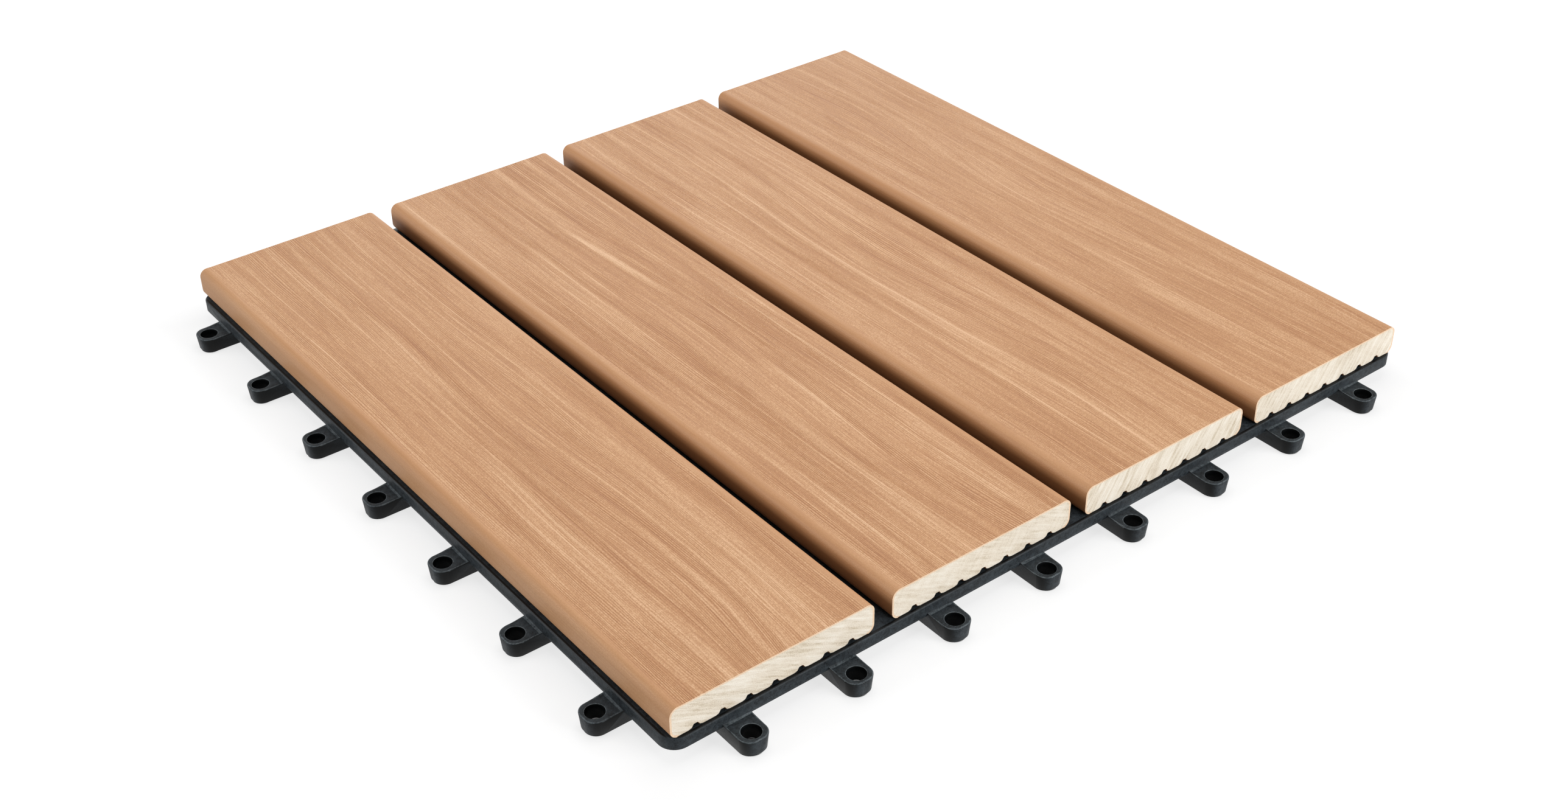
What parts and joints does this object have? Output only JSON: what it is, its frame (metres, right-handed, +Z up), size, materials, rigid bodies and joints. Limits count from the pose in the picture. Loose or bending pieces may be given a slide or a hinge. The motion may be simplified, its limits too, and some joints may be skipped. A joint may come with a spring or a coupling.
{
  "type": "interlocking deck tile",
  "caption": "Square interlocking deck tile: capped composite boards screwed to a moulded plastic grid, with loops along two sides and pegs under the other two.",
  "frame": {"origin": "on the ground, under the middle of the whole footprint, loops included", "axes": "+X across the slats, away from the side with loops; +Y along the slats, away from the front with loops; +Z up from the ground"},
  "size_m": [0.3124, 0.3016, 0.0198],
  "materials": {
    "grid_plastic": "charcoal moulded polypropylene, fine spark texture",
    "composite_board": "tan wood-plastic composite with embossed grain, pale core at the sawn ends",
    "screw_steel": "plain steel screws"
  },
  "bodies": {
    "root": {"base_grid": "grid_plastic", "slat_1": "composite_board", "slat_2": "composite_board", "slat_3": "composite_board", "slat_4": "composite_board", "slat_screws": "screw_steel"}
  },
  "joints": []
}
